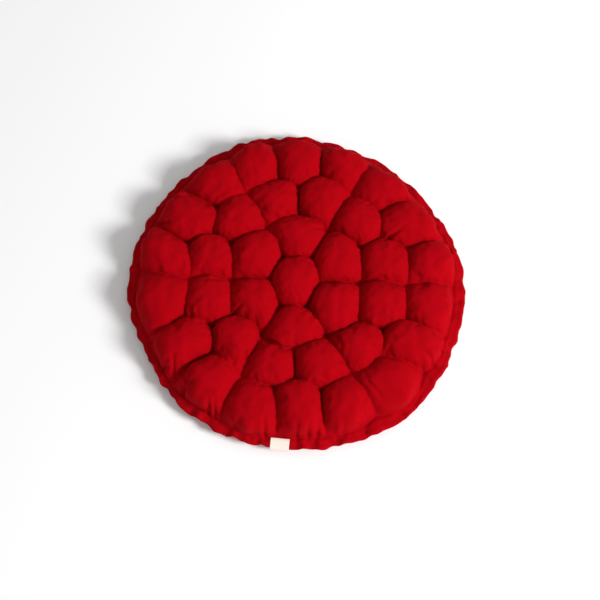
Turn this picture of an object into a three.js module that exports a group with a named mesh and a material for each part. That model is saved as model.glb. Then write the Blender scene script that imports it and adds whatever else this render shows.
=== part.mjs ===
// Round massage seat cushion: two discs of red cotton stitched together in a honeycomb of 37 cells, each
// cell filled with loose hulls, with a narrow flange outside the last seam and a blank ribbon label.
// Millimetres, +Z up, lying on Z = 0. Bearing 0 is +X, bearing 90 is +Y, and the label is at the front, -Y.

import * as THREE from "three";

// Driving dimensions
const CROWN_HEIGHT = 50; // top of a plump cell above the surface that the cushion lies on
const CROWN_UNEVENNESS = 1.6; // some cells hold a little less filling, up to twice this lower
const FULLNESS_TURN = 2.4; // steps through full and slack cells without repeating round a ring
const OUTER_CROWN_DROP = 2; // the cells beside the flange are drawn down a little
const BELLY_DEPTH = 4; // how far a cell would hang below the surface if nothing flattened it
const SEAM_LAYERS = 2.4; // the two cloths and the stitching, through a seam
const FLANGE_WIDTH = 12; // from the last seam to the edge
const FLANGE_HEIGHT = 15; // middle of the flange above the surface
const FLANGE_WAVES = 9; // long waves in the flange, all the way round
const FLANGE_WAVE_HEIGHT = 2.2;
const SCALLOP_DEPTH = 3; // the edge is drawn in by this where a seam reaches the flange
const LABEL_CLEARANCE = { from: 0.08, to: 0.4 }; // radians from the label in which the waves grow
const LABEL_WIDTH = 22;
const LABEL_THICKNESS = 1.2; // a folded ribbon, two layers
const LABEL_BEARING = 264.5;

const COTTON = new THREE.MeshStandardMaterial({ color: 0xa3060f, roughness: 0.95, metalness: 0 });
const RIBBON = new THREE.MeshStandardMaterial({ color: 0xece2d6, roughness: 0.8, metalness: 0 });

// Seams that run round the cushion, from the middle outwards. Each row's `cells` lie inside its seam, in a
// ring, with a straight seam between each two. A corner where such seams meet the ring from both sides is
// `crossed` millimetres from the middle. One met only from outside is drawn out, only from inside drawn in.
const SEAM_RINGS = [
  { cells: 0, crossed: 0, drawnOut: 34, drawnIn: 0, height: 24 },
  { cells: 6, crossed: 78, drawnOut: 89, drawnIn: 0, height: 24 },
  { cells: 12, crossed: 131, drawnOut: 136, drawnIn: 119, height: 22 },
  { cells: 18, crossed: 0, drawnOut: 0, drawnIn: 188, height: 16.5 },
];

// Corners that the filling has pulled out of line, by so many millimetres anticlockwise and outwards.
const PULLED = [
  { ring: 0, bearing: 0, along: -1, out: -6 },
  { ring: 0, bearing: 60, along: -2, out: 1 },
  { ring: 0, bearing: 180, along: -2, out: -3 },
  { ring: 0, bearing: 240, along: -1, out: 3 },
  { ring: 0, bearing: 300, along: -4, out: 1 },
  { ring: 1, bearing: 90, along: -2, out: -1 },
  { ring: 1, bearing: 150, along: -2, out: 5 },
  { ring: 1, bearing: 270, along: -1, out: -4 },
  { ring: 1, bearing: 300, along: -2, out: -1 },
  { ring: 1, bearing: 330, along: -4, out: 0 },
  { ring: 2, bearing: 0, along: -4, out: 1 },
  { ring: 2, bearing: 20, along: -5, out: 5 },
  { ring: 2, bearing: 30, along: 0, out: -4 },
  { ring: 2, bearing: 40, along: 4, out: -1 },
  { ring: 2, bearing: 80, along: -3, out: 6 },
  { ring: 2, bearing: 90, along: -2, out: 3 },
  { ring: 2, bearing: 140, along: -10, out: -1 },
  { ring: 2, bearing: 160, along: 1, out: 3 },
  { ring: 2, bearing: 180, along: 1, out: -4 },
  { ring: 2, bearing: 200, along: -3, out: 4 },
  { ring: 2, bearing: 210, along: 0, out: -4 },
  { ring: 2, bearing: 220, along: 6, out: -5 },
  { ring: 2, bearing: 240, along: 5, out: 3 },
  { ring: 2, bearing: 260, along: 0, out: -3 },
  { ring: 2, bearing: 280, along: 7, out: 2 },
  { ring: 2, bearing: 320, along: -8, out: -1 },
  { ring: 2, bearing: 340, along: 3, out: 2 },
  { ring: 3, bearing: 20, along: -8, out: 2 },
  { ring: 3, bearing: 40, along: -18, out: -1 },
  { ring: 3, bearing: 100, along: 2, out: 2 },
  { ring: 3, bearing: 120, along: -9, out: -1 },
  { ring: 3, bearing: 140, along: -2, out: 3 },
  { ring: 3, bearing: 160, along: -12, out: 3 },
  { ring: 3, bearing: 180, along: -11, out: 1 },
  { ring: 3, bearing: 200, along: 5, out: -1 },
  { ring: 3, bearing: 220, along: 5, out: 5 },
  { ring: 3, bearing: 240, along: 10, out: 2 },
  { ring: 3, bearing: 260, along: 12, out: 0 },
  { ring: 3, bearing: 280, along: 4, out: 1 },
  { ring: 3, bearing: 300, along: 3, out: -3 },
  { ring: 3, bearing: 320, along: 14, out: -4 },
];

// How finely the cloth is faceted: steps along a seam from corner to corner, and rows from a cell's seam to
// its middle, each as a share of the way out.
const SEAM_STEPS = 3;
const CELL_ROWS = [0.945, 0.81, 0.54];

// Across the flange, from the last seam to the edge: how far out, how far its middle is above the flange's
// height, and half its thickness there.
const FLANGE_ROWS = [
  { out: 4.5, height: 1.5, half: 2.6 },
  { out: 10.2, height: -0.4, half: 2.1 },
  { out: FLANGE_WIDTH, height: -1, half: 0 },
];

// The label's underside, from the last seam to its hanging fold, measured as the flange's rows are. It stays
// about 0.4 mm clear of the cloth.
const LABEL_PATH = [
  { out: 1.6, height: 4.4 },
  { out: 4.5, height: 4.7 },
  { out: 10.4, height: 2.5 },
  { out: 12.8, height: 0 },
  { out: 13.8, height: -4 },
];

const LAST_RING = SEAM_RINGS.length - 1;
const radians = THREE.MathUtils.degToRad;
const meets = (bearing, cells) => cells > 0 && bearing % (360 / cells) === 0;

// Bearings of the corners on a ring, in degrees from `start` to `end`.
function cornerBearings(ring, start, end) {
  const inner = SEAM_RINGS[ring].cells;
  const outer = ring < LAST_RING ? SEAM_RINGS[ring + 1].cells : 0;
  const bearings = [];
  for (let bearing = start; bearing <= end; bearing += 10) {
    if (meets(bearing, inner) || meets(bearing, outer)) bearings.push(bearing);
  }
  return bearings;
}

function corner(ring, bearing) {
  const { cells, crossed, drawnOut, drawnIn, height } = SEAM_RINGS[ring];
  const fromInside = meets(bearing, cells);
  const fromOutside = ring < LAST_RING && meets(bearing, SEAM_RINGS[ring + 1].cells);
  const pulled = PULLED.find((row) => row.ring === ring && row.bearing === bearing % 360);
  const evenReach = fromInside && fromOutside ? crossed : fromOutside ? drawnOut : drawnIn;
  const reach = evenReach + (pulled ? pulled.out : 0);
  const angle = radians(bearing) + (pulled ? pulled.along / reach : 0);
  return {
    name: `${ring}/${bearing % 360}`,
    ring,
    place: new THREE.Vector3(reach * Math.cos(angle), reach * Math.sin(angle), height),
  };
}

// Points along the seam from one corner towards the next, the second corner left out. Both cells beside a
// seam get the same names, so the cloth is shared there. The last seam bows out as an arc.
function seamPoints(from, to) {
  const forward = from.name < to.name;
  const [first, second] = forward ? [from, to] : [to, from];
  const outermost = first.ring === LAST_RING && second.ring === LAST_RING;
  const points = [];
  for (let step = 0; step < SEAM_STEPS; step++) {
    const along = forward ? step : SEAM_STEPS - step;
    const share = along / SEAM_STEPS;
    const place = first.place.clone().lerp(second.place, share);
    if (outermost) {
      const { x, y } = place;
      const bowed = THREE.MathUtils.lerp(flatLength(first.place), flatLength(second.place), share);
      const stretch = bowed / Math.hypot(x, y);
      place.set(x * stretch, y * stretch, place.z);
    }
    const ends = { 0: first.name, [SEAM_STEPS]: second.name };
    points.push({ name: ends[along] ?? `${first.name}-${second.name}-${along}`, place, share });
  }
  return points;
}

const flatLength = (place) => Math.hypot(place.x, place.y);
const flatDistance = (place, other) => Math.hypot(place.x - other.x, place.y - other.y);

// Points along the seams from each corner to the next, all the way round.
function seamLoop(corners) {
  return corners.flatMap((from, i) => seamPoints(from, corners[(i + 1) % corners.length]));
}

// Corners round each cell, anticlockwise: the outer seam, then back along the inner one.
function cells() {
  const all = [{ ring: 0, corners: cornerBearings(0, 0, 359).map((bearing) => corner(0, bearing)) }];
  for (let ring = 1; ring <= LAST_RING; ring++) {
    const step = 360 / SEAM_RINGS[ring].cells;
    for (let start = 0; start < 360; start += step) {
      const outer = cornerBearings(ring, start, start + step).map((bearing) => corner(ring, bearing));
      const inner = cornerBearings(ring - 1, start, start + step).map((bearing) => corner(ring - 1, bearing));
      all.push({ ring, corners: [...outer, ...inner.reverse()] });
    }
  }
  return all;
}

// A stuffed cell rises steeply off its seam and is nearly flat on top.
const rise = (shareOut) => Math.sqrt(1 - shareOut ** 3);

function cushionGeometry() {
  const vertices = [];
  const faces = [];
  const known = new Map();

  function vertex(place) {
    vertices.push(place.x, place.y, place.z);
    return vertices.length / 3 - 1;
  }
  function sharedVertex(name, place) {
    if (!known.has(name)) known.set(name, vertex(place));
    return known.get(name);
  }
  function quad(a, b, c, d, up) {
    if (up) faces.push(a, b, c, a, c, d);
    else faces.push(a, c, b, a, d, c);
  }
  function seamVertex(point, up) {
    const half = up ? SEAM_LAYERS / 2 : -SEAM_LAYERS / 2;
    const place = point.place.clone().setZ(point.place.z + half);
    return sharedVertex(`${point.name} ${up ? "top" : "under"}`, place);
  }

  // One side of a cell. Its rows are the seam's shape at first and rounder towards the middle.
  function puffCell(cell, number, up) {
    const rim = seamLoop(cell.corners);
    const middle = new THREE.Vector3();
    rim.forEach(({ place }) => middle.addScaledVector(place, 1 / rim.length));
    const roundReach = rim.reduce((sum, { place }) => sum + flatDistance(place, middle) / rim.length, 0);
    const slack = CROWN_UNEVENNESS * (1 - Math.sin(FULLNESS_TURN * number));
    const drop = cell.ring === LAST_RING ? OUTER_CROWN_DROP : 0;
    const far = up ? CROWN_HEIGHT - slack - drop : -BELLY_DEPTH;

    const rows = CELL_ROWS.map((share) =>
      rim.map(({ place }) => {
        const reach = flatDistance(place, middle);
        const roundness = THREE.MathUtils.lerp(roundReach / reach, 1, share ** 2);
        const point = middle.clone().lerp(place, share * roundness);
        const seam = place.z + (up ? SEAM_LAYERS : -SEAM_LAYERS) / 2;
        return vertex(point.setZ(Math.max(0, THREE.MathUtils.lerp(seam, far, rise(share)))));
      }),
    );
    rows.unshift(rim.map((point) => seamVertex(point, up)));
    const tip = vertex(middle.clone().setZ(Math.max(0, far)));
    rim.forEach((_, i) => {
      const next = (i + 1) % rim.length;
      for (let row = 1; row < rows.length; row++) {
        quad(rows[row - 1][i], rows[row - 1][next], rows[row][next], rows[row][i], up);
      }
      const last = rows[rows.length - 1];
      if (up) faces.push(last[i], last[next], tip);
      else faces.push(last[next], last[i], tip);
    });
  }

  // The flange, in upright sections through the points of the last seam. Its edge is scalloped between seams
  // and waves up and down, except where the label lies on it.
  function flange() {
    const corners = cornerBearings(LAST_RING, 0, 359).map((bearing) => corner(LAST_RING, bearing));
    const sections = seamLoop(corners).map((point) => {
      const angle = Math.atan2(point.place.y, point.place.x);
      const wave = FLANGE_WAVE_HEIGHT * awayFromLabel(angle) * Math.sin(FLANGE_WAVES * angle);
      const scallop = SCALLOP_DEPTH * (Math.sin(Math.PI * point.share) - 0.5);
      return [1, -1].map((side) => [
        seamVertex(point, side > 0),
        ...FLANGE_ROWS.map(({ out, height, half }) => {
          const share = out / FLANGE_WIDTH;
          const reach = flatLength(point.place) + out + share * scallop;
          const z = FLANGE_HEIGHT + height + share * wave + side * half;
          const place = new THREE.Vector3(reach * Math.cos(angle), reach * Math.sin(angle), z);
          return half > 0 ? vertex(place) : sharedVertex(`${point.name} edge`, place);
        }),
      ]);
    });
    sections.forEach((section, i) => {
      const nextSection = sections[(i + 1) % sections.length];
      section.forEach((row, side) => {
        const next = nextSection[side];
        for (let j = 1; j < row.length; j++) quad(row[j - 1], row[j], next[j], next[j - 1], side === 0);
      });
    });
  }

  cells().forEach((cell, number) => {
    puffCell(cell, number, true);
    puffCell(cell, number, false);
  });
  flange();

  const geometry = new THREE.BufferGeometry();
  geometry.setAttribute("position", new THREE.Float32BufferAttribute(vertices, 3));
  geometry.setIndex(faces);
  geometry.computeVertexNormals();
  return geometry;
}

// 0 beside the label, 1 further round.
function awayFromLabel(angle) {
  const turn = Math.acos(Math.cos(angle - radians(LABEL_BEARING)));
  return THREE.MathUtils.smoothstep(turn, LABEL_CLEARANCE.from, LABEL_CLEARANCE.to);
}

// A ribbon that leaves the last seam, lies over the flange and hangs just past its edge.
function labelGeometry() {
  const under = LABEL_PATH.map(
    ({ out, height }) => new THREE.Vector2(SEAM_RINGS[LAST_RING].drawnIn + out, FLANGE_HEIGHT + height),
  );
  const over = under.map((point, i) => {
    const next = under[Math.min(i + 1, under.length - 1)];
    const before = under[Math.max(i - 1, 0)];
    const along = next.clone().sub(before).normalize();
    return new THREE.Vector2(-along.y, along.x).multiplyScalar(LABEL_THICKNESS).add(point);
  });
  const outline = new THREE.Shape([...under, ...over.reverse()]);
  const geometry = new THREE.ExtrudeGeometry(outline, { depth: LABEL_WIDTH, bevelEnabled: false });
  geometry.translate(0, 0, -LABEL_WIDTH / 2);
  geometry.rotateX(Math.PI / 2);
  geometry.rotateZ(radians(LABEL_BEARING));
  return geometry;
}

function namedMesh(name, geometry, material) {
  const mesh = new THREE.Mesh(geometry, material);
  mesh.name = name;
  return mesh;
}

const group = new THREE.Group();
group.add(namedMesh("cushion", cushionGeometry(), COTTON));
group.add(namedMesh("label", labelGeometry(), RIBBON));

// The origin is under the middle of the cushion's box, on the surface that it lies on.
const middle = new THREE.Box3().setFromObject(group).getCenter(new THREE.Vector3());
group.position.set(-middle.x, -middle.y, 0);

export default group;
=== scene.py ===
import math

import bmesh
import bpy
import numpy as np
from mathutils import Matrix, Vector
from mathutils.bvhtree import BVHTree


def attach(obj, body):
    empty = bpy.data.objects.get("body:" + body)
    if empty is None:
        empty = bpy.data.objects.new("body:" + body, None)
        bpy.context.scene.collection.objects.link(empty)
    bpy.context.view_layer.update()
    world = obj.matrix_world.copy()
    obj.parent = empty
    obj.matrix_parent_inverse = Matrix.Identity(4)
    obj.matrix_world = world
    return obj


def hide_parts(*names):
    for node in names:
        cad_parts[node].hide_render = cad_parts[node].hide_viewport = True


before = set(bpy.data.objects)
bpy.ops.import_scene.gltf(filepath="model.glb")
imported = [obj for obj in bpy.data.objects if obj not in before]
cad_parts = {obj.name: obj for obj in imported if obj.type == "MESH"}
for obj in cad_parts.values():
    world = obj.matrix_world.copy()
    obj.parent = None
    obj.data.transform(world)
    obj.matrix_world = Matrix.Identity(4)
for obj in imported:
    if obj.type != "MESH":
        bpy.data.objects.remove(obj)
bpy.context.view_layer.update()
mm = 0.001
print("frame loaded")


# Camera: looks down on the cushion from the front, as the photograph does
view = {
    "elevation": 71,  # degrees above the floor
    "distance": 1400,  # mm
    "aim": (4.9, -17.1, 15),  # mm, the point in the middle of the picture
    "roll": 0.9,  # degrees, the picture is turned by this much
    "lens": 69.5,  # mm
    "sensor": 36,  # mm
    "pixels": 600,  # width and height of the photograph
}


# The camera's place in mm, and its turn
def cameraPose():
    elevation = math.radians(view["elevation"])
    back = Vector((0, -math.cos(elevation), math.sin(elevation)))
    turn = back.to_track_quat("Z", "Y").to_matrix() @ Matrix.Rotation(math.radians(view["roll"]), 3, "Z")
    return Vector(view["aim"]) + back * view["distance"], turn


# What a pixel of the photograph shows on a level at some height, seen from above, to the nearest mm
def photoPlace(pixel, height):
    place, turn = cameraPose()
    half = view["pixels"] / 2
    reach = view["lens"] / view["sensor"] * view["pixels"]
    ray = turn @ Vector((pixel[0] - half, half - pixel[1], -reach))
    spot = place + ray * ((height - place.z) / ray.z)
    return np.round(np.array(spot[:2]))


def setCamera():
    data = bpy.data.cameras.new("camera")
    data.lens = view["lens"]
    data.sensor_width = view["sensor"]
    camera = bpy.data.objects.new("camera", data)
    place, turn = cameraPose()
    camera.matrix_world = Matrix.Translation(place * mm) @ turn.to_4x4()
    bpy.context.scene.collection.objects.link(camera)
    bpy.context.scene.camera = camera


setCamera()


# Helpers for materials and objects
def srgb(code):
    parts = [int(code[i:i + 2], 16) / 255 for i in (1, 3, 5)]
    linear = [c / 12.92 if c <= 0.04045 else ((c + 0.055) / 1.055) ** 2.4 for c in parts]
    return (*linear, 1)


# kind is the node's type, settings are its properties or sockets, and links name a socket and its source
def addNode(tree, kind, settings=None, **links):
    node = tree.nodes.new("ShaderNode" + kind)
    for name, value in (settings or {}).items():
        if hasattr(node, name):
            setattr(node, name, value)
        else:
            node.inputs[name].default_value = value
    for name, source in links.items():
        tree.links.new(source, node.inputs[name])
    return node


def newMaterial(name):
    material = bpy.data.materials.new(name)
    material.use_nodes = True
    material.node_tree.nodes.clear()
    return material, material.node_tree


def finishMaterial(tree, shader):
    output = tree.nodes.new("ShaderNodeOutputMaterial")
    tree.links.new(shader.outputs[0], output.inputs["Surface"])


def makeObject(name, mesh, material):
    mesh.polygons.foreach_set("use_smooth", np.ones(len(mesh.polygons), bool))
    mesh.materials.append(material)
    piece = bpy.data.objects.new(name, mesh)
    bpy.context.scene.collection.objects.link(piece)
    return piece


# Where the seams run, in millimetres. A ring's corners are crossed by seams from both sides, or drawn out
# or in by seams from one side only. The filling has pulled some corners along their ring and outwards.
seamRings = [
    {"cells": 0, "crossed": 0, "drawnOut": 34, "drawnIn": 0},
    {"cells": 6, "crossed": 78, "drawnOut": 89, "drawnIn": 0},
    {"cells": 12, "crossed": 131, "drawnOut": 136, "drawnIn": 119},
    {"cells": 18, "crossed": 0, "drawnOut": 0, "drawnIn": 188},
]
pulledCorners = [
    {0: (-1, -6), 60: (-2, 1), 180: (-2, -3), 240: (-1, 3), 300: (-4, 1)},
    {90: (-2, -1), 150: (-2, 5), 270: (-1, -4), 300: (-2, -1), 330: (-4, 0)},
    {
        0: (-4, 1), 20: (-5, 5), 30: (0, -4), 40: (4, -1), 80: (-3, 6), 90: (-2, 3), 140: (-10, -1),
        160: (1, 3), 180: (1, -4), 200: (-3, 4), 210: (0, -4), 220: (6, -5), 240: (5, 3), 260: (0, -3),
        280: (7, 2), 320: (-8, -1), 340: (3, 2),
    },
    {
        20: (-8, 2), 40: (-18, -1), 100: (2, 2), 120: (-9, -1), 140: (-2, 3), 160: (-12, 3),
        180: (-11, 1), 200: (5, -1), 220: (5, 5), 240: (10, 2), 260: (12, 0), 280: (4, 1), 300: (3, -3),
        320: (14, -4),
    },
]
lastRing = len(seamRings) - 1
layoutShift = Vector((0.006, 0.551))  # mm, puts the middle of the whole, label included, over the origin


def meets(bearing, cells):
    return cells > 0 and bearing % (360 // cells) == 0


def cornerBearings(ring, start, end):
    inner = seamRings[ring]["cells"]
    outer = seamRings[ring + 1]["cells"] if ring < lastRing else 0
    return [b for b in range(start, end + 1, 10) if meets(b, inner) or meets(b, outer)]


def cornerPlace(ring, bearing):
    row = seamRings[ring]
    fromInside = meets(bearing, row["cells"])
    fromOutside = ring < lastRing and meets(bearing, seamRings[ring + 1]["cells"])
    even = row["crossed" if fromInside and fromOutside else "drawnOut" if fromOutside else "drawnIn"]
    along, out = pulledCorners[ring].get(bearing, (0, 0))
    angle = math.radians(bearing) + along / (even + out)
    return (Vector((math.cos(angle), math.sin(angle))) * (even + out) + layoutShift) * mm


# Each cell's ring and its corners, anticlockwise
def cellCorners():
    cells = [(0, [(0, b) for b in cornerBearings(0, 0, 359)])]
    for ring in range(1, lastRing + 1):
        step = 360 // seamRings[ring]["cells"]
        for start in range(0, 360, step):
            outer = [(ring, b % 360) for b in cornerBearings(ring, start, start + step)]
            inner = [(ring - 1, b % 360) for b in cornerBearings(ring - 1, start, start + step)]
            cells.append((ring, outer + inner[::-1]))
    return cells


cells = cellCorners()

# Cushion
cushion = {
    "steps": 8,  # grid steps from a cell's middle to its seam
    "crown": 49,  # mm, height of a full cell's top
    "crownUneven": 1.3,  # mm, some cells hold a little less
    "fullnessTurn": 2.4,  # steps through full and slack cells
    "grooveTop": 37,  # mm, where neighbouring cells part on the upper side, in the middle of their seam
    "pitTop": 28,  # mm, the same where cells meet at a corner
    "grooveUnder": 9,
    "pitUnder": 14,
    "belly": -3,  # mm, below the floor: the cells' undersides flatten on it
    "rimTop": 18,  # mm, upper cloth at the last seam
    "rimUnder": 15.4,
    "arch": 2.0,  # how fast the parting line climbs from a corner
    "roundness": 2.15,  # 2 is an elliptic dome, more is flatter on top
    "startShare": 0.94,  # how much of its height a cell has before it fills
    "crowding": 0.5,  # draws the grid's rows towards the seams
    "cellLarger": 0.15,  # the cloth is cut this much larger than the filled cell
    "flangeLarger": 0.08,
    "pressure": 120,
    "stiffness": 15,
    "bending": 12,
    "frames": 12,
    "quality": 5,  # steps in a frame
    "mass": 0.001,  # kg for each point, so that it fills fast
    "settling": 120,  # rounds that level the heights between the seams
    "cap": 5,  # mm, the most that the cloth may move
    "gap": 0.15,  # mm, from a cell's cloth to the parting surface over its seam
    "crumple": 0.5,  # mm, unevenness that starts the creases
    "seed": 7,
}
# Seams that differ from the others: "rise" is how much higher the cells part there, "push" is how far the
# fuller cell has pushed the seam's middle to the right and back
seamNotes = {
    ((0, 0), (1, 0)): {"rise": -7, "push": (0, -0.5)},
    ((0, 0), (0, 60)): {"rise": 1, "push": (1, 0)},
    ((0, 0), (0, 300)): {"rise": -5, "push": (0, 0)},
    ((0, 60), (0, 120)): {"rise": 0, "push": (0, 1)},
    ((0, 60), (1, 60)): {"rise": -4, "push": (0.5, 0)},
    ((0, 120), (0, 180)): {"rise": -3, "push": (-0.5, 0.5)},
    ((0, 120), (1, 120)): {"rise": -1, "push": (3, 3)},
    ((0, 180), (1, 180)): {"rise": -4, "push": (0, 1)},
    ((0, 240), (1, 240)): {"rise": -3, "push": (1.5, -1)},
    ((0, 240), (0, 300)): {"rise": -1, "push": (0, 0)},
    ((0, 300), (1, 300)): {"rise": 4, "push": (0, 0)},
    ((1, 0), (1, 30)): {"rise": -4, "push": (1.2, 0)},
    ((1, 0), (2, 0)): {"rise": 0, "push": (0, 2)},
    ((1, 0), (1, 330)): {"rise": -1, "push": (-0.5, 0)},
    ((1, 30), (1, 60)): {"rise": -1, "push": (-0.5, 2)},
    ((1, 30), (2, 30)): {"rise": -4, "push": (1, -1)},
    ((1, 60), (1, 90)): {"rise": 1, "push": (0, 0)},
    ((1, 60), (2, 60)): {"rise": -2, "push": (-1, 0)},
    ((1, 90), (1, 120)): {"rise": -1, "push": (0, 1.5)},
    ((1, 90), (2, 90)): {"rise": -11, "push": (-0.5, 0)},
    ((1, 120), (2, 120)): {"rise": 1, "push": (4.5, 1)},
    ((1, 120), (1, 150)): {"rise": -1, "push": (0, 0)},
    ((1, 150), (2, 150)): {"rise": -5, "push": (0, 1)},
    ((1, 150), (1, 180)): {"rise": 0, "push": (2.5, 0)},
    ((1, 180), (2, 180)): {"rise": 0, "push": (0, 5)},
    ((1, 180), (1, 210)): {"rise": 1, "push": (0.5, 0)},
    ((1, 210), (1, 240)): {"rise": -1, "push": (3, 4)},
    ((1, 210), (2, 210)): {"rise": -5, "push": (0, 0)},
    ((1, 240), (2, 240)): {"rise": -4, "push": (0, 0)},
    ((1, 240), (1, 270)): {"rise": 1, "push": (-1, -6)},
    ((1, 270), (2, 270)): {"rise": -8, "push": (0.5, 0)},
    ((1, 270), (1, 300)): {"rise": 0, "push": (0, -1)},
    ((1, 300), (1, 330)): {"rise": -3, "push": (0.5, -3)},
    ((1, 300), (2, 300)): {"rise": 4, "push": (0, 0)},
    ((1, 330), (2, 330)): {"rise": -1, "push": (0, -1)},
    ((2, 0), (2, 20)): {"rise": 2, "push": (2, 0)},
    ((2, 0), (3, 0)): {"rise": -2, "push": (0, 1.3)},
    ((2, 20), (2, 30)): {"rise": -2, "push": (0, 1)},
    ((2, 20), (3, 20)): {"rise": -4, "push": (0, 2)},
    ((2, 30), (2, 40)): {"rise": 4, "push": (2, 0)},
    ((2, 40), (2, 60)): {"rise": 4, "push": (0, -0.5)},
    ((2, 40), (3, 40)): {"rise": -4, "push": (0, 6)},
    ((2, 60), (2, 80)): {"rise": 6, "push": (0, 0)},
    ((2, 60), (3, 60)): {"rise": 3, "push": (0, 0)},
    ((2, 80), (2, 90)): {"rise": 0, "push": (0.5, 0.5)},
    ((2, 80), (3, 80)): {"rise": -5, "push": (-1, 0)},
    ((2, 90), (2, 100)): {"rise": 0, "push": (0, 0.5)},
    ((2, 100), (3, 100)): {"rise": -4, "push": (2.4, 0)},
    ((2, 120), (3, 120)): {"rise": 6, "push": (-1, 0)},
    ((2, 120), (2, 140)): {"rise": 6, "push": (0, 0)},
    ((2, 140), (2, 150)): {"rise": 3, "push": (1.5, 0)},
    ((2, 140), (3, 140)): {"rise": -5, "push": (-1, -3.5)},
    ((2, 150), (2, 160)): {"rise": 1, "push": (0, 1.5)},
    ((2, 160), (3, 160)): {"rise": -4, "push": (-1.5, -3)},
    ((2, 160), (2, 180)): {"rise": 4, "push": (1, 0)},
    ((2, 180), (3, 180)): {"rise": 1, "push": (0, 0)},
    ((2, 180), (2, 200)): {"rise": 3, "push": (1, 0)},
    ((2, 200), (3, 200)): {"rise": -4, "push": (1, -3)},
    ((2, 200), (2, 210)): {"rise": 2, "push": (0, 1)},
    ((2, 210), (2, 220)): {"rise": -5, "push": (1, 0)},
    ((2, 220), (3, 220)): {"rise": -11, "push": (-1.5, 2.5)},
    ((2, 220), (2, 240)): {"rise": 7, "push": (0, 0)},
    ((2, 240), (3, 240)): {"rise": -3, "push": (-1.5, 0)},
    ((2, 240), (2, 260)): {"rise": 0, "push": (0, -2.5)},
    ((2, 260), (3, 260)): {"rise": -1, "push": (2, 0)},
    ((2, 260), (2, 270)): {"rise": 0, "push": (-1, -3)},
    ((2, 270), (2, 280)): {"rise": 4, "push": (0, 0)},
    ((2, 280), (3, 280)): {"rise": -7, "push": (-0.5, 0)},
    ((2, 280), (2, 300)): {"rise": -1, "push": (0, 0.5)},
    ((2, 300), (3, 300)): {"rise": 6, "push": (1, 0)},
    ((2, 300), (2, 320)): {"rise": 0, "push": (0, -5)},
    ((2, 320), (3, 320)): {"rise": 0, "push": (0.5, 2.5)},
    ((2, 320), (2, 330)): {"rise": 4, "push": (3.5, 0)},
    ((2, 340), (3, 340)): {"rise": 0, "push": (-0.5, -1.5)},
    ((2, 340), (2, 0)): {"rise": 2, "push": (0, 0)},
}
# How much lower or higher the cloth is at some corners
pitNotes = {
    (0, 60): -1, (0, 120): -7, (0, 240): -6, (0, 300): -7, (1, 0): -5, (1, 30): 1, (1, 60): -5,
    (1, 90): -6, (1, 150): -5, (1, 180): -3, (1, 210): -3, (1, 240): -7, (1, 270): 3, (1, 300): -7,
    (2, 0): 4, (2, 20): 2, (2, 60): 4, (2, 100): -5, (2, 120): 5, (2, 160): -2, (2, 180): 5,
    (2, 210): -7, (2, 220): -6, (2, 240): 1, (2, 270): -5, (2, 280): -4, (2, 300): 4, (2, 320): 2,
    (2, 330): -5,
}
# How far the last seam and the hem's edge reach from the middle, halfway along each outer cell, in mm
rimReach = [
    {"bearing": 10, "seam": 193, "hem": 205},
    {"bearing": 30, "seam": 187, "hem": 197},
    {"bearing": 50, "seam": 186, "hem": 196},
    {"bearing": 70, "seam": 186, "hem": 196},
    {"bearing": 90, "seam": 188, "hem": 201},
    {"bearing": 110, "seam": 191, "hem": 204},
    {"bearing": 130, "seam": 189, "hem": 201},
    {"bearing": 150, "seam": 190, "hem": 202},
    {"bearing": 170, "seam": 194, "hem": 204},
    {"bearing": 190, "seam": 193, "hem": 204},
    {"bearing": 210, "seam": 188, "hem": 198},
    {"bearing": 230, "seam": 190, "hem": 202},
    {"bearing": 250, "seam": 192, "hem": 201},
    {"bearing": 270, "seam": 187, "hem": 200},
    {"bearing": 290, "seam": 190, "hem": 203},
    {"bearing": 310, "seam": 197, "hem": 208},
    {"bearing": 330, "seam": 191, "hem": 204},
    {"bearing": 350, "seam": 189, "hem": 204},
]
# Across the hem: share of its width, how high above the last seam in mm, and half its thickness in mm
hemRows = [
    {"share": 0.2, "height": 0.7, "half": 1.6},
    {"share": 0.46, "height": 0.9, "half": 1.8},
    {"share": 0.74, "height": -0.1, "half": 1.6},
    {"share": 1, "height": -1.2, "half": 0.8},
]
hem = {
    "scallop": 0.65,  # mm, how far the edge wavers in and out
    "ripple": 1,  # mm, how far it waves up and down
    "waves": (13, 29, 41, 58, 76),  # around the whole edge
    "gathers": {  # how strongly it is gathered, by bearing
        0: 0.7, 40: 0.6, 90: 0.8, 150: 1.1, 180: 0.8, 205: 1.7, 222: 1.8, 245: 1.5, 262: 0.8, 285: 1.6,
        300: 0.5, 318: 0.8, 335: 1.9, 350: 0.9,
    },
    "ridge": 0.85,  # mm, height of the two ridges beside the row of stitches along the hem's middle
    "ridgePlaces": (0.27, 0.82),  # shares of the hem's width, as the next three are
    "ridgeWidth": 0.13,
    "stitchShare": 0.55,
    "stitchGroove": 0.1,
    "pucker": 0.3,  # mm, small creases across the hem
    "puckerWidth": 9,  # mm
    "pleat": 0.9,  # mm, gathers that run from the last seam up the outer cells
    "pleatWidth": 11,  # mm
    "pleatReach": 11,  # mm
    "degree": 3.3,  # mm along the rim for each degree
    "labelBearing": 265.3,  # degrees, here the hem lies flat under the label
    "labelSpread": 6,  # degrees to both sides
    "seed": 3,
}


def around(bearing, values):
    places = sorted(values)
    return np.interp(bearing, places, [values[b] for b in places], period=360)


def waver(bearing, seed):
    random = np.random.default_rng(seed)
    total = 0
    for count in hem["waves"]:
        size = random.uniform(0.6, 1)
        start = random.uniform(0, 6.28)
        total = total + size * np.sin(np.radians(bearing) * count + start)
    return total * around(bearing, hem["gathers"]) / math.sqrt(len(hem["waves"]) / 2)


def seamNote(one, other):
    return seamNotes.get((one, other)) or seamNotes.get((other, one)) or {"rise": 0, "push": (0, 0)}


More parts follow.
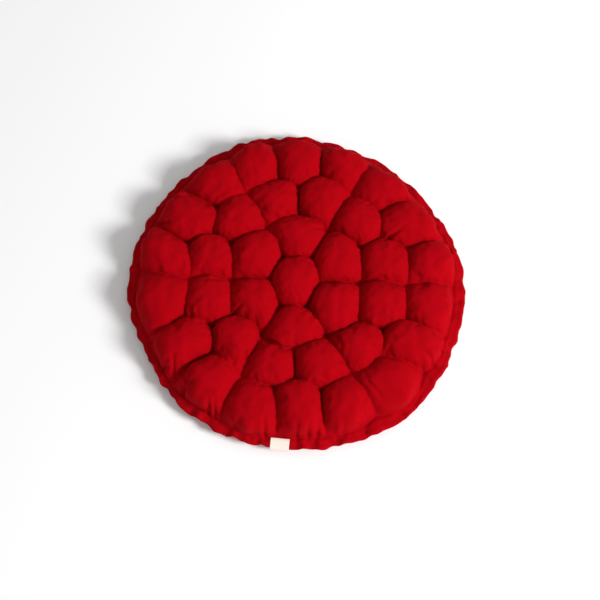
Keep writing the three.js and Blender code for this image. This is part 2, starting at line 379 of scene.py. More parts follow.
# Height of the upper and the lower cloth at a corner, and in the middle of a seam
def cornerHeights(corner):
    if corner[0] == lastRing:
        return Vector((cushion["rimTop"], cushion["rimUnder"], 0)) * mm
    return Vector((cushion["pitTop"] + pitNotes.get(corner, 0), cushion["pitUnder"], 0)) * mm


def seamHeights(one, other):
    if one[0] == other[0] == lastRing:
        return Vector((cushion["rimTop"] + 1, cushion["rimUnder"], 0)) * mm
    return Vector((cushion["grooveTop"] + seamNote(one, other)["rise"], cushion["grooveUnder"], 0)) * mm


# How far a seam's middle is from halfway between its corners
def seamPush(one, other):
    if not one[0] == other[0] == lastRing:
        return Vector(seamNote(one, other)["push"]) * mm
    start, end = sorted((one[1], other[1]))
    bearing = start + 10 if end - start == 20 else 350
    middle = (cornerPlace(*one) + cornerPlace(*other)) / 2
    reach = next(row["seam"] for row in rimReach if row["bearing"] == bearing) * mm
    return middle.normalized() * (reach - middle.length)


# The last seam's distance from the middle, by bearing
def lastSeamReaches():
    reaches = {}
    for start in range(0, 360, 20):
        one, other = (lastRing, start), (lastRing, (start + 20) % 360)
        first, second = cornerPlace(*one), cornerPlace(*other)
        for step in range(9):
            t = step / 8
            climbed = 1 - abs(2 * t - 1)
            place = first.lerp(second, t) + seamPush(one, other) * climbed * (2 - climbed)
            reaches[math.degrees(math.atan2(place.y, place.x)) % 360] = place.length / mm
    return reaches


seamReaches = lastSeamReaches()


# The seams' layout as a flat disc, each cell split into kites and gridded, with the hem around it
def sewnDisc():
    bm = bmesh.new()
    for name in ("filling", "along"):
        bm.verts.layers.float.new(name)
    for name in ("atEnd", "atMiddle", "push"):
        bm.verts.layers.float_vector.new(name)
    bm.verts.layers.int.new("row")
    inCell = bm.faces.layers.int.new("cell")
    filling, along = bm.verts.layers.float["filling"], bm.verts.layers.float["along"]
    vectors = bm.verts.layers.float_vector
    atEnd, atMiddle, push = vectors["atEnd"], vectors["atMiddle"], vectors["push"]
    row = bm.verts.layers.int["row"]

    names = []
    corners = {}
    for number, (ring, loop) in enumerate(cells):
        for corner in loop:
            if corner not in corners:
                corners[corner] = bm.verts.new((*cornerPlace(*corner), 0))
                corners[corner][atEnd] = cornerHeights(corner)
                names.append(corner)
        bm.faces.new([corners[corner] for corner in loop])[inCell] = number

    bmesh.ops.bisect_edges(bm, edges=bm.edges[:], cuts=1)
    bm.verts.index_update()
    for v in bm.verts:
        if v.index >= len(names):
            ends = [names[e.other_vert(v).index] for e in v.link_edges]
            v[along] = 1
            v[atEnd] = (0, 0, 0)
            v[atMiddle] = seamHeights(*ends)
            v[push] = (*seamPush(*ends), 0)
    middles = bmesh.ops.poke(bm, faces=bm.faces[:])["verts"]
    bm.verts.index_update()
    for v in middles:
        v[filling] = 1
        v[along] = 0
        v[atEnd] = v[atMiddle] = v[push] = (0, 0, 0)
    spokes = [e for v in middles for e in v.link_edges if e.other_vert(v).index < len(names)]
    bmesh.ops.dissolve_edges(bm, edges=spokes, use_verts=False)
    bmesh.ops.subdivide_edges(bm, edges=bm.edges[:], cuts=cushion["steps"] - 1, use_grid_fill=True)
    for v in bm.verts:
        v.co += v[push] * (2 - v[along])

    edges = [e for e in bm.edges if e.is_boundary]
    reached = 0
    for number, section in enumerate(hemRows, 1):
        made = bmesh.ops.extrude_edge_only(bm, edges=edges)["geom"]
        for v in [g for g in made if isinstance(g, bmesh.types.BMVert)]:
            bearing = math.degrees(math.atan2(v.co.y, v.co.x)) % 360
            edge = around(bearing, {r["bearing"]: r["hem"] for r in rimReach})
            edge = (edge + hem["scallop"] * waver(bearing, hem["seed"])) * mm
            step = (section["share"] - reached) / (1 - reached)
            v.co *= 1 + (edge - v.co.length) * step / v.co.length
            v[row] = number
        edges = [g for g in made if isinstance(g, bmesh.types.BMEdge)]
        reached = section["share"]
    bmesh.ops.recalc_face_normals(bm, faces=bm.faces[:])
    if sum(f.normal.z for f in bm.faces) < 0:
        bmesh.ops.reverse_faces(bm, faces=bm.faces[:])
    return bm


# The disc's numbers as arrays: places, layers, faces, and the cell of each point
def readDisc(bm):
    bm.verts.index_update()
    bm.verts.ensure_lookup_table()
    floats, vectors = bm.verts.layers.float, bm.verts.layers.float_vector
    disc = {
        "flat": np.array([v.co[:2] for v in bm.verts]),
        "filling": np.clip([v[floats["filling"]] for v in bm.verts], 0, 1),
        "along": np.clip([v[floats["along"]] for v in bm.verts], 0, 1),
        "atEnd": np.array([v[vectors["atEnd"]][:] for v in bm.verts]),
        "atMiddle": np.array([v[vectors["atMiddle"]][:] for v in bm.verts]),
        "row": np.array([v[bm.verts.layers.int["row"]] for v in bm.verts]),
    }
    faces = np.array([[v.index for v in f.verts] for f in bm.faces])
    faceCell = np.array([f[bm.faces.layers.int["cell"]] for f in bm.faces])
    # The operators list the faces in another order each run, and the cloth would settle by that order.
    # So each face starts at its lowest point, and the faces are sorted.
    turned = (faces.argmin(axis=1)[:, None] + np.arange(4)) % 4
    faces = np.take_along_axis(faces, turned, axis=1)
    order = np.lexsort(faces.T[::-1])
    disc["faces"], faceCell = faces[order], faceCell[order]
    disc["sewn"] = (disc["filling"] < 1e-6) & (disc["row"] == 0)
    disc["cell"] = np.full(len(disc["flat"]), -1)
    for side in range(4):
        points = disc["faces"][:, side]
        inside = ~disc["sewn"][points] & (disc["row"][points] == 0)
        disc["cell"][points[inside]] = faceCell[inside]
    return disc


# Height of the cloth on the seams: low at the corners, climbing in an arch to the middle
def partingHeights(disc, side):
    along = disc["along"][disc["sewn"]]
    middle = disc["atMiddle"][disc["sewn"], side] / along.clip(1e-3)
    end = disc["atEnd"][disc["sewn"], side] / (1 - along).clip(1e-3)
    climbed = 1 - (1 - along) ** cushion["arch"]
    return end * (1 - climbed) + middle * climbed


# Heights between the seams, as a cloth stretched over them would have
def settledHeights(disc, heights):
    edges = np.concatenate([disc["faces"][:, [i, (i + 1) % 4]] for i in range(4)])
    edges = edges[(disc["row"][edges] == 0).all(axis=1)]
    count = np.bincount(edges.ravel(), minlength=len(heights)).clip(1)
    free = ~disc["sewn"] & (disc["row"] == 0)
    base = np.where(free, heights[disc["sewn"]].mean(), heights)
    for _ in range(cushion["settling"]):
        total = np.bincount(edges[:, 0], base[edges[:, 1]], len(base))
        total += np.bincount(edges[:, 1], base[edges[:, 0]], len(base))
        base[free] = (total / count)[free]
    return base


# One side of the cushion before it is filled up
def looseCloth(disc, upper):
    heights = np.zeros(len(disc["flat"]))
    heights[disc["sewn"]] = partingHeights(disc, 0 if upper else 1)
    base = settledHeights(disc, heights)
    share = 1 - disc["filling"]
    rise = np.sqrt(1 - share ** cushion["roundness"]) * cushion["startShare"]
    places = np.column_stack([disc["flat"], base])
    for number in range(len(cells)):
        inside = disc["cell"] == number
        middle = disc["flat"][inside & (share < 1e-6)][0]
        slack = cushion["crownUneven"] * (1 - math.sin(cushion["fullnessTurn"] * number)) * mm
        far = cushion["crown"] * mm - slack if upper else cushion["belly"] * mm
        bent = np.sin(share[inside] * math.pi / 2) / share[inside].clip(1e-6)
        spread = np.where(share[inside] < 1e-6, 1, 1 + (bent - 1) * cushion["crowding"])
        places[inside, :2] = middle + (places[inside, :2] - middle) * spread[:, None]
        places[inside, 2] += (far - base[inside]) * rise[inside]
    bearing = np.degrees(np.arctan2(disc["flat"][:, 1], disc["flat"][:, 0])) % 360
    ripple = hem["ripple"] * waver(bearing, hem["seed"] + 1)
    middleHeight = (cushion["rimTop"] + cushion["rimUnder"]) / 2
    for number, section in enumerate(hemRows, 1):
        half = section["half"] if upper else -section["half"]
        inRow = disc["row"] == number
        places[inRow, 2] = (middleHeight + section["height"] + half + ripple[inRow] * section["share"]) * mm
    return places


# Faces of both sides, and the strip that joins their edges
def closedFaces(disc):
    faces = disc["faces"]
    count = len(disc["flat"])
    sides = np.concatenate([faces[:, [i, (i + 1) % 4]] for i in range(4)])
    edge = sides[(disc["row"][sides] == len(hemRows)).all(axis=1)]
    strip = np.column_stack([edge[:, 1], edge[:, 0], edge[:, 0] + count, edge[:, 1] + count])
    return np.concatenate([faces, faces[:, ::-1] + count, strip])


# Blender's cloth, cut larger than the sewn cells and blown up, gives the fullness and the creases
def fillWithCloth(mesh, disc):
    count = len(disc["flat"])
    piece = bpy.data.objects.new("filling", mesh)
    bpy.context.scene.collection.objects.link(piece)
    sewn = np.tile(disc["sewn"], 2)
    inHem = np.tile(disc["row"] > 0, 2)
    for name, chosen in {"sewn": sewn, "filled": ~inHem}.items():
        group = piece.vertex_groups.new(name=name)
        group.add(np.flatnonzero(chosen).tolist(), 1, "REPLACE")
        group.add(np.flatnonzero(~chosen).tolist(), 0, "REPLACE")
    cloth = piece.modifiers.new("filling", "CLOTH")
    settings = cloth.settings
    settings.quality = cushion["quality"]
    settings.mass = cushion["mass"]
    settings.tension_stiffness = settings.compression_stiffness = cushion["stiffness"]
    settings.shear_stiffness = cushion["stiffness"] / 3
    settings.bending_stiffness = cushion["bending"]
    settings.vertex_group_mass = "sewn"
    settings.vertex_group_pressure = settings.vertex_group_shrink = "filled"
    settings.shrink_min = -cushion["flangeLarger"]
    settings.shrink_max = -cushion["cellLarger"]
    settings.use_pressure = True
    settings.uniform_pressure_force = cushion["pressure"]
    settings.effector_weights.gravity = 0
    cloth.collision_settings.use_collision = False
    for step in range(1, cushion["frames"] + 1):
        bpy.context.scene.frame_set(step)
    filled = piece.evaluated_get(bpy.context.evaluated_depsgraph_get()).data
    places = np.empty(count * 6)
    filled.vertices.foreach_get("co", places)
    bpy.data.objects.remove(piece)
    bpy.context.scene.frame_set(1)
    return places.reshape(-1, 3)


# Neighbouring cells press flat against each other over their seam
def keepInCells(places, disc):
    for number, (ring, loop) in enumerate(cells):
        inside = np.flatnonzero(np.tile(disc["cell"] == number, 2))
        middle = np.mean([cornerPlace(*corner) for corner in loop], axis=0)
        for i, corner in enumerate(loop):
            other = loop[(i + 1) % len(loop)]
            if corner[0] == other[0] == lastRing:
                continue  # nothing presses on the rim's side
            start, end = np.array(cornerPlace(*corner)), np.array(cornerPlace(*other))
            length = np.linalg.norm(end - start)
            along = (end - start) / length
            inwards = np.array([-along[1], along[0]])
            inwards *= np.sign((middle - start) @ inwards)
            fromStart = places[inside, :2] - start
            share = (fromStart @ along / length).clip(0, 1)
            bowed = 4 * share * (1 - share) * (np.array(seamPush(corner, other)) @ inwards)
            depth = bowed + cushion["gap"] * mm - fromStart @ inwards
            beside = (fromStart @ along > -mm) & (fromStart @ along < length + mm)
            push = np.where(beside, depth.clip(0), 0)
            places[inside, :2] += push[:, None] * inwards
    return places


# Tucks where a seam has gathered the cloth: the pixels of the photograph where each starts and ends, read
# off, with the height of the cloth there and how deep the tuck looks, in mm
tucks = [
    {"from": (361, 246), "to": (353, 243), "height": 42, "depth": 3.0},
    {"from": (367, 204), "to": (375, 201.5), "height": 44, "depth": 2.0},
    {"from": (215, 333), "to": (214.5, 345), "height": 40, "depth": 2.6},
    {"from": (246, 353), "to": (241, 364), "height": 42, "depth": 2.2},
    {"from": (215.5, 197.5), "to": (221.5, 194), "height": 45, "depth": 1.8},
    {"from": (236, 248), "to": (237.5, 260), "height": 43, "depth": 1.8},
    {"from": (192, 239.5), "to": (204, 232.5), "height": 42, "depth": 1.6},
    {"from": (207, 280), "to": (225, 279.5), "height": 43, "depth": 1.4},
    {"from": (326, 227), "to": (317, 228), "height": 42, "depth": 3.2},
    {"from": (387, 237.5), "to": (399, 231), "height": 43, "depth": 2.4},
    {"from": (369, 279), "to": (384, 277), "height": 42, "depth": 2.4},
    {"from": (300, 258), "to": (315, 265), "height": 43, "depth": 2.0},
    {"from": (264, 337), "to": (278, 345), "height": 42, "depth": 2.2},
    {"from": (232, 313), "to": (240, 307), "height": 41, "depth": 2.4},
    {"from": (337, 336), "to": (341, 346), "height": 41, "depth": 2.2},
    {"from": (313, 308), "to": (315, 316), "height": 43, "depth": 1.8},
    {"from": (368, 383), "to": (379, 395), "height": 42, "depth": 1.6},
    {"from": (191, 309), "to": (191, 318), "height": 41, "depth": 1.6},
    {"from": (234, 283), "to": (244, 289), "height": 42, "depth": 1.4},
    {"from": (344, 193), "to": (353, 196), "height": 43, "depth": 1.6},
    {"from": (414, 246), "to": (410, 254), "height": 43, "depth": 1.6},
    {"from": (174, 372), "to": (174, 359), "height": 34, "depth": 2.8},
    {"from": (158, 369), "to": (171, 369), "height": 26, "depth": 2.2},
    {"from": (183, 391), "to": (185, 382), "height": 34, "depth": 2.6},
    {"from": (185, 382), "to": (191, 384), "height": 36, "depth": 1.8},
    {"from": (208, 411), "to": (209, 401), "height": 34, "depth": 2.0},
    {"from": (215, 412), "to": (215, 401), "height": 34, "depth": 2.2},
    {"from": (264.5, 438), "to": (264, 423), "height": 26, "depth": 2.6},
    {"from": (316, 440), "to": (319, 424), "height": 24, "depth": 1.6},
    {"from": (307, 443), "to": (308, 429), "height": 22, "depth": 1.6},
    {"from": (296, 443), "to": (297, 430), "height": 22, "depth": 1.4},
    {"from": (176, 198), "to": (191, 197), "height": 36, "depth": 2.4},
    {"from": (156, 223.5), "to": (167, 225), "height": 34, "depth": 2.4},
    {"from": (430, 378), "to": (421, 366), "height": 30, "depth": 2.0},
    {"from": (447, 352), "to": (437, 346), "height": 28, "depth": 2.2},
    {"from": (436, 366), "to": (427, 358), "height": 30, "depth": 1.8},
    {"from": (163, 384), "to": (172, 378), "height": 26, "depth": 2.0},
    {"from": (326, 146), "to": (327, 158), "height": 38, "depth": 1.6},
    {"from": (150, 340), "to": (158, 338), "height": 30, "depth": 1.8},
]
detail = {
    "tuckDeeper": 1.35,  # the mesh softens them, so they are made this much deeper
    "tuckWidth": 2.0,  # mm, half a tuck's width, which the next three count in
    "tuckEnd": 1.5,  # over this it fades out beyond its ends
    "lipPlace": 2.1,  # where the cloth stands up beside it
    "lipWidth": 0.8,
    "lip": 0.25,  # share of a tuck's depth that the lip is high
    "tuckTail": 0.55,  # share of its depth that is left at the far end
    "dents": 0.45,  # mm, soft unevenness of the filling under the cloth
    "dentSize": 17,  # mm
    "bumpWaves": 14,  # crossing waves that make up the unevenness
    "underShift": (31, 47),  # mm, the underside has the same kind of tucks and dents in other places
}


# A soft trough with a lip on both sides, deepest near its start
def tuckDepth(flat, tuck):
    start, end = [photoPlace(tuck[name], tuck["height"]) * mm for name in ("from", "to")]
    length = np.linalg.norm(end - start)
    along = (flat - start) @ (end - start) / length
    beside = np.abs((flat - start) @ np.array([start[1] - end[1], end[0] - start[0]])) / length
    width = detail["tuckWidth"] * mm
    beyond = np.maximum(0, np.maximum(-along, along - length)) / (detail["tuckEnd"] * width)
    fade = np.exp(-beyond ** 2) * np.interp(along, [0, length], [1, detail["tuckTail"]])
    trough = np.exp(-(beside / width) ** 2)
    lips = np.exp(-((beside / width - detail["lipPlace"]) / detail["lipWidth"]) ** 2)
    return tuck["depth"] * detail["tuckDeeper"] * mm * fade * (trough - detail["lip"] * lips)


# Smooth bumps from a few crossing waves, the same on each run
def softBumps(flat, size, seed):
    random = np.random.default_rng(seed)
    total = np.zeros(len(flat))
    for _ in range(detail["bumpWaves"]):
        turn = random.uniform(0, 2 * math.pi)
        wave = size * mm * random.uniform(0.7, 1.6)
        way = np.array([math.cos(turn), math.sin(turn)])
        start = random.uniform(0, 6.28)
        total += np.sin(flat @ way * 2 * math.pi / wave + start)
    return total / math.sqrt(detail["bumpWaves"])


# Fine work on the subdivided mesh: dents, tucks, the hem's ridges and its row of stitches
def workTheCloth(mesh):
    count = len(mesh.vertices)
    places = np.empty(count * 3)
    mesh.vertices.foreach_get("co", places)
    places = places.reshape(-1, 3)
    normals = np.empty(count * 3)
    mesh.vertex_normals.foreach_get("vector", normals)
    normals = normals.reshape(-1, 3)
    numbers = {}
    for name in ("upper", "filled", "hemShare"):
        numbers[name] = np.empty(count)
        mesh.attributes[name].data.foreach_get("value", numbers[name])
    upper = numbers["upper"] > 0.5
    filled = numbers["filled"].clip(0, 1)
    share = numbers["hemShare"]
    flat = places[:, :2]
    onTop = np.where(upper[:, None], flat, flat + np.array(detail["underShift"]) * mm)
    bearing = np.degrees(np.arctan2(flat[:, 1], flat[:, 0])) % 360
    fromLabel = (bearing - hem["labelBearing"] + 180) % 360 - 180
    underLabel = np.exp(-(fromLabel / hem["labelSpread"]) ** 4)
    inwards = np.zeros(count)
    for tuck in tucks:
        inwards += tuckDepth(onTop, tuck)
    inwards *= np.where(share > 0, np.exp(-share * 2), 1)
    rim = around(bearing, seamReaches) * mm - np.linalg.norm(flat, axis=1)
    rim = np.where(share > 0, 0, rim.clip(0)) / (hem["pleatReach"] * mm)
    gathers = around(bearing, hem["gathers"]) * (1 - underLabel)
    alongRim = bearing * hem["degree"]
    pleats = softBumps(np.column_stack([alongRim, rim * 4]) * mm, hem["pleatWidth"], hem["seed"] + 2)
    inwards += hem["pleat"] * mm * gathers * pleats * np.exp(-rim) * (1 - np.exp(-rim * 6))
    dents = softBumps(onTop, detail["dentSize"], cushion["seed"])
    inwards -= detail["dents"] * mm * dents * np.sqrt(filled)
    inwards *= np.clip((places[:, 2] / mm - 1) / 4, 0, 1)  # not where it lies on the floor

    ridges = sum(np.exp(-((share - middle) / hem["ridgeWidth"]) ** 2) for middle in hem["ridgePlaces"])
    ridges -= np.exp(-((share - hem["stitchShare"]) / hem["stitchGroove"]) ** 2)
    pucker = softBumps(np.column_stack([alongRim, share * 3]) * mm, hem["puckerWidth"], hem["seed"])
    pucker *= gathers
    relief = hem["ridge"] * ridges + hem["pucker"] * pucker
    relief *= (1 - underLabel) * np.sin(np.pi * share.clip(0, 1) ** 0.7)  # none at the seam and the edge
    inwards -= np.where(share > 0.02, relief * mm, 0)
    places -= normals * inwards[:, None]
    places[:, 2] = places[:, 2].clip(0)
    mesh.vertices.foreach_set("co", places.ravel())


def makeCushion(material):
    bm = sewnDisc()
    disc = readDisc(bm)
    bm.free()
    loose = np.concatenate([looseCloth(disc, True), looseCloth(disc, False)])
    loose[:, 2] = loose[:, 2].clip(0)
    places = loose
    random = np.random.default_rng(cushion["seed"])
    free = np.tile(~disc["sewn"], 2)
    rough = loose.copy()
    rough[free] += random.normal(0, cushion["crumple"] * mm, (free.sum(), 3))
    mesh = bpy.data.meshes.new("filling")
    mesh.from_pydata(rough.tolist(), [], closedFaces(disc).tolist())
    places = fillWithCloth(mesh, disc)
    moved = places - loose
    far = np.linalg.norm(moved, axis=1, keepdims=True).clip(1e-9)
    places = loose + moved * np.minimum(1, cushion["cap"] * mm / far)
    places = keepInCells(places, disc)
    places[:, 2] = places[:, 2].clip(0)

    count = len(disc["flat"])
    hemShares = np.array([0] + [section["share"] for section in hemRows])[disc["row"]]
    rough = bpy.data.meshes.new("cushionRough")
    rough.from_pydata(places.tolist(), [], closedFaces(disc).tolist())
    for name, values in {"upper": np.repeat([1.0, 0.0], count), "filled": np.tile(disc["filling"], 2),
                         "hemShare": np.tile(hemShares, 2)}.items():
        rough.attributes.new(name, "FLOAT", "POINT").data.foreach_set("value", values.astype(np.float32))
    flatPattern = np.tile(disc["flat"], (2, 1))[[v.vertex_index for v in rough.loops]]
    uv = rough.uv_layers.new(name="pattern")
    uv.data.foreach_set("uv", flatPattern.astype(np.float32).ravel())
    smooth = bpy.data.objects.new("rough", rough)
    bpy.context.scene.collection.objects.link(smooth)
    smooth.modifiers.new("smooth", "SUBSURF").levels = 1
    mesh = bpy.data.meshes.new_from_object(smooth.evaluated_get(bpy.context.evaluated_depsgraph_get()))
    mesh.name = "cushionCloth"
    bpy.data.objects.remove(smooth)
    workTheCloth(mesh)
    print("cushion filled, top at", round(max(v.co.z for v in mesh.vertices) / mm, 1), "mm")
    return makeObject("cushionCloth", mesh, material)


# Cotton canvas, piece-dyed and washed, plain weave: matt, with a soft bloom of fibre ends, a little uneven
# in colour in random blotches. The blotches are painted paler only towards the cells' crowns, as painted
# light on the tops, which leaves the seams deeper as painted shade
cotton = {
    "deep": "#820006",
    "body": "#A2000C",
    # painted highlight colour for the crowns
    "paintedCrownLight": "#AE0010",
    "threadSpacing": 1.5,  # mm, the real 0.5 mm is too fine to show, so it is drawn three times as coarse
    "slubLength": 22,  # mm
    "blotch": 38,  # mm
    "weaveHeight": 0.16,  # mm
}


def wovenCotton():
    material, tree = newMaterial("wovenCotton")
    pattern = addNode(tree, "UVMap", {"uv_map": "pattern"}).outputs["UV"]
    fine, long = 1000 / cotton["threadSpacing"], 1000 / cotton["slubLength"]
    warp = addNode(tree, "Mapping", {"Scale": (fine, long, 1)}, Vector=pattern)
    weft = addNode(tree, "Mapping", {"Scale": (long, fine, 1)}, Vector=pattern)
    slubs = [addNode(tree, "TexNoise", {"Scale": 1, "Detail": 1, "Roughness": 0.4}, Vector=way.outputs[0])
             for way in (warp, weft)]
    thread = addNode(tree, "Math", {"operation": "MAXIMUM"})
    for socket, slub in zip(thread.inputs, slubs):
        tree.links.new(slub.outputs[0], socket)
    over = addNode(tree, "TexChecker", {"Scale": fine}, Vector=pattern)
    weave = addNode(tree, "Mix", {"data_type": "FLOAT", "Factor": 0.3},
                    A=thread.outputs[0], B=over.outputs["Fac"])

    # Painted light: random blotches times the fill share, so the colour is painted paler towards the crowns
    # and stays darker in the seams as painted shade
    blotches = addNode(tree, "TexNoise", {"Scale": 1000 / cotton["blotch"], "Detail": 3}, Vector=pattern)
    filled = addNode(tree, "Attribute", {"attribute_name": "filled"})
    crownLightMask = addNode(tree, "Math", {"operation": "MULTIPLY"})
    tree.links.new(blotches.outputs[0], crownLightMask.inputs[0])
    tree.links.new(filled.outputs["Fac"], crownLightMask.inputs[1])
    crownLightShare = addNode(tree, "MapRange", {"From Min": 0.3, "From Max": 0.62}, Value=crownLightMask.outputs[0])
    colour = addNode(tree, "ValToRGB", {}, Fac=crownLightShare.outputs[0])
    colour.color_ramp.elements[0].color = srgb(cotton["body"])
    colour.color_ramp.elements[1].color = srgb(cotton["paintedCrownLight"])
    shade = addNode(tree, "MapRange", {"From Min": 0.35, "From Max": 0.6, "To Max": 0.35},
                    Value=weave.outputs[0])
    mixed = addNode(tree, "Mix", {"data_type": "RGBA", "B": srgb(cotton["deep"])},
                    Factor=shade.outputs[0], A=colour.outputs[0])
    bump = addNode(tree, "Bump", {"Strength": 0.6, "Distance": cotton["weaveHeight"] * mm},
                   Height=weave.outputs[0])
    shader = addNode(tree, "BsdfPrincipled", {
        "Roughness": 0.92, "Specular IOR Level": 0.04, "Sheen Weight": 0.08, "Sheen Roughness": 0.45,
        "Sheen Tint": srgb("#FF0014"),
    }, **{"Base Color": mixed.outputs[2], "Normal": bump.outputs[0]})
    finishMaterial(tree, shader)
    return material


cushionCloth = makeCushion(wovenCotton())
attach(cushionCloth, "root")
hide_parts("cushion")
print("cushion made")


# Stitches of the last seam, and of the row along the hem, on both sides
stitch = {
    "pitch": 4.2,  # mm
    "length": 3.3,
    "thickness": 0.75,
    "sunk": 0.12,  # mm
}


def polyesterThread():
    # Spun polyester sewing thread, dyed to match: a tight, smooth twist that catches a little light
    material, tree = newMaterial("polyesterThread")
    place = addNode(tree, "TexCoord").outputs["Object"]
    twist = addNode(tree, "TexWave", {"Scale": 700, "Distortion": 1.5, "bands_direction": "DIAGONAL"},
                    Vector=place)
    bump = addNode(tree, "Bump", {"Strength": 0.5, "Distance": 0.1 * mm}, Height=twist.outputs["Fac"])
    colour = addNode(tree, "Mix", {"data_type": "RGBA", "A": srgb("#880008"), "B": srgb("#A40410")},
                     Factor=twist.outputs["Fac"])
    shader = addNode(tree, "BsdfPrincipled", {"Roughness": 0.65, "Specular IOR Level": 0.12},
                     **{"Base Color": colour.outputs[2], "Normal": bump.outputs[0]})
    finishMaterial(tree, shader)
    return material


# The line that a row of stitches follows, at a share of the hem's width, as points one pitch apart
def stitchLine(share):
    bearings = np.arange(0, 360, 0.25)
    seam = around(bearings, seamReaches)
    edge = around(bearings, {r["bearing"]: r["hem"] for r in rimReach})
    reach = (seam * (1 - share) + edge * share) * mm
    line = np.column_stack([np.cos(np.radians(bearings)), np.sin(np.radians(bearings))]) * reach[:, None]
    steps = np.linalg.norm(np.diff(line, axis=0, append=line[:1]), axis=1)
    run = np.concatenate([[0], np.cumsum(steps)[:-1]])
    count = int(steps.sum() / (stitch["pitch"] * mm))
    wanted = np.arange(count) * steps.sum() / count
    return np.column_stack([np.interp(wanted, run, line[:, i]) for i in (0, 1)])


# One stitch is a small ball drawn out along the seam, and its copies lie on the cloth
def makeStitches(cloth, material):
    bm = bmesh.new()
    bmesh.ops.create_uvsphere(bm, u_segments=6, v_segments=4, radius=1)
    one = np.array([v.co for v in bm.verts])
    oneFaces = [[v.index for v in f.verts] for f in bm.faces]
    bm.free()
    size = np.array([stitch["length"], stitch["thickness"], stitch["thickness"]]) / 2 * mm

    mesh = cloth.data
    tree = BVHTree.FromPolygons([v.co for v in mesh.vertices], [p.vertices for p in mesh.polygons])
    places, faces = [], []
    for line in (stitchLine(0), stitchLine(hem["stitchShare"])):
        for side in (1, -1):
            for place, ahead in zip(line, np.roll(line, -1, axis=0)):
                hit, normal = tree.ray_cast(Vector((*place, side)), Vector((0, 0, -side)))[:2]
                up = normal if normal.z * side > 0 else -normal
                way = Vector((*(ahead - place), 0))
                way = (way - up * way.dot(up)).normalized()
                turn = np.array([way, up.cross(way), up])
                faces += [[i + len(one) * len(places) for i in face] for face in oneFaces]
                places.append(one * size @ turn + np.array(hit - up * stitch["sunk"] * mm))
    mesh = bpy.data.meshes.new("seamStitches")
    mesh.from_pydata(np.concatenate(places).tolist(), [], faces)
    return makeObject("seamStitches", mesh, material)


seamStitches = makeStitches(cushionCloth, polyesterThread())
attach(seamStitches, "root")
print("stitches made:", len(seamStitches.data.vertices))


# Label: a blank ribbon folded in two, caught in the last seam and lying over the hem
label = {
    "width": 22,  # mm
    "cloth": 0.45,  # mm, one layer
    "loft": 0.7,  # mm between the two layers
    "steps": 20,
    "foldLength": 0.8,  # mm, over this the layers come together at the fold
    "curl": 0.35,  # mm, its corners lift a little
}
labelPath = [  # mm out from the last seam, mm above the hem's middle height
    {"out": 1.6, "height": 4.65},
    {"out": 4.5, "height": 4.95},
    {"out": 10.4, "height": 2.75},
    {"out": 13.0, "height": 0.1},
    {"out": 14.0, "height": -3.7},
]
labelHeight = 15  # mm, the hem's middle height


# A flat grid as wide as the ribbon, bent along the path, folded at the far end and back below itself
def makeLabel(material):
    seam = seamRings[-1]["drawnIn"]
    path = np.array([[row["out"] + seam, row["height"] + labelHeight] for row in labelPath])
    lengths = np.concatenate([[0], np.cumsum(np.linalg.norm(np.diff(path, axis=0), axis=1))])

    def pathPlace(along):
        return np.array([np.interp(along, lengths, path[:, 0]), np.interp(along, lengths, path[:, 1])])

    bm = bmesh.new()
    bmesh.ops.create_grid(bm, x_segments=label["steps"], y_segments=label["steps"] * 2, size=1)
    pattern = bm.loops.layers.uv.new("ribbon")
    for face in bm.faces:
        for loop in face.loops:
            loop[pattern].uv = (loop.vert.co.x * label["width"] / 2 * mm, loop.vert.co.y * lengths[-1] * mm)
    for v in bm.verts:
        across = v.co.x * label["width"] / 2
        along = (1 - abs(v.co.y)) * lengths[-1]
        out, height = pathPlace(along)
        direction = pathPlace(along + 0.5) - pathPlace(along - 0.5)
        direction /= np.linalg.norm(direction)
        fold = min(1, abs(v.co.y) * lengths[-1] / label["foldLength"])
        side = -1 if v.co.y < 0 else 1
        lift = label["loft"] / 2 * (1 + side * math.sqrt(fold))
        curl = label["curl"] * (across / label["width"] * 2) ** 2 * along / lengths[-1]
        v.co = Vector((out - direction[1] * lift, across, height + direction[0] * lift + curl)) * mm
    turn = Matrix.Rotation(math.radians(hem["labelBearing"]), 3, "Z")
    bmesh.ops.rotate(bm, verts=bm.verts[:], matrix=turn)
    bmesh.ops.translate(bm, verts=bm.verts[:], vec=(*(layoutShift * mm), 0))
    mesh = bpy.data.meshes.new("ribbonLabel")
    bm.to_mesh(mesh)
    bm.free()
    piece = makeObject("ribbonLabel", mesh, material)
    thick = piece.modifiers.new("cloth", "SOLIDIFY")
    thick.thickness = label["cloth"] * mm
    thick.offset = 0
    return piece


# Woven cotton ribbon, cream, blank: fine ribs across, a slightly raised edge along both sides, matt
ribbon = {
    "cream": "#F4E6DC",
    "shade": "#D9C4B6",
    "ribSpacing": 0.9,  # mm, twice the real rib, to show
    "edge": 1.4,  # mm, width of the firmer woven edge
}


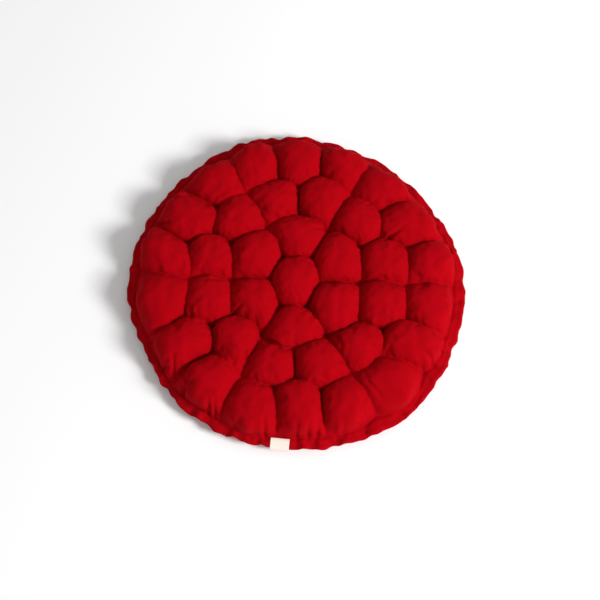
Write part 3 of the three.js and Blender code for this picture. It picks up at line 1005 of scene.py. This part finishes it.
def wovenRibbon():
    material, tree = newMaterial("wovenRibbon")
    pattern = addNode(tree, "UVMap", {"uv_map": "ribbon"}).outputs["UV"]
    ribs = addNode(tree, "TexWave", {
        "Scale": 1000 / ribbon["ribSpacing"] / 6.28 * 1.57, "bands_direction": "Y",
        "Distortion": 0.6, "Detail": 1,
    }, Vector=pattern)
    fibres = addNode(tree, "TexNoise", {"Scale": 900, "Detail": 2}, Vector=pattern)
    across = addNode(tree, "SeparateXYZ", {}, Vector=pattern).outputs["X"]
    fromMiddle = addNode(tree, "Math", {"operation": "ABSOLUTE"})
    tree.links.new(across, fromMiddle.inputs[0])
    half = label["width"] / 2
    firm = addNode(tree, "MapRange", {
        "From Min": (half - ribbon["edge"]) * mm, "From Max": half * mm * 0.98,
    }, Value=fromMiddle.outputs[0])
    height = addNode(tree, "Math", {"operation": "ADD"})
    tree.links.new(ribs.outputs["Fac"], height.inputs[0])
    tree.links.new(firm.outputs[0], height.inputs[1])
    tint = addNode(tree, "MapRange", {"From Min": 0.3, "From Max": 0.75, "To Max": 0.55},
                   Value=fibres.outputs[0])
    colour = addNode(tree, "Mix", {
        "data_type": "RGBA", "A": srgb(ribbon["cream"]), "B": srgb(ribbon["shade"]),
    }, Factor=tint.outputs[0])
    bump = addNode(tree, "Bump", {"Strength": 0.7, "Distance": 0.15 * mm}, Height=height.outputs[0])
    shader = addNode(tree, "BsdfPrincipled", {"Roughness": 0.8, "Specular IOR Level": 0.3},
                     **{"Base Color": colour.outputs[2], "Normal": bump.outputs[0]})
    finishMaterial(tree, shader)
    return material


ribbonLabel = makeLabel(wovenRibbon())
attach(ribbonLabel, "root")
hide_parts("label")
print("label made")


# Floor and light: a white table, a large soft lamp from the right and front, and dim light all round
studio = {
    "floor": "#F6F6F6",
    "floorSize": 6,  # m
    "lampPlace": (2.5, -1.1, 2.0),  # m
    "lampSize": 0.9,
    "lampPower": 131,
    "sky": 0.5,
}


def makeStudio():
    material, tree = newMaterial("paintedTable")
    paint = {"Base Color": srgb(studio["floor"]), "Roughness": 0.9}
    finishMaterial(tree, addNode(tree, "BsdfPrincipled", paint))
    bm = bmesh.new()
    bmesh.ops.create_grid(bm, x_segments=1, y_segments=1, size=studio["floorSize"] / 2)
    mesh = bpy.data.meshes.new("table")
    bm.to_mesh(mesh)
    bm.free()
    makeObject("table", mesh, material)

    data = bpy.data.lights.new("key", "AREA")
    data.size = studio["lampSize"]
    data.energy = studio["lampPower"]
    lamp = bpy.data.objects.new("key", data)
    lamp.location = studio["lampPlace"]
    lamp.rotation_euler = Vector(studio["lampPlace"]).to_track_quat("Z", "Y").to_euler()
    bpy.context.scene.collection.objects.link(lamp)

    world = bpy.data.worlds.new("studio")
    world.use_nodes = True
    background = world.node_tree.nodes["Background"]
    background.inputs["Color"].default_value = (1, 1, 1, 1)
    background.inputs["Strength"].default_value = studio["sky"]
    bpy.context.scene.world = world
    bpy.context.scene.view_settings.view_transform = "Standard"


makeStudio()
print("studio made")
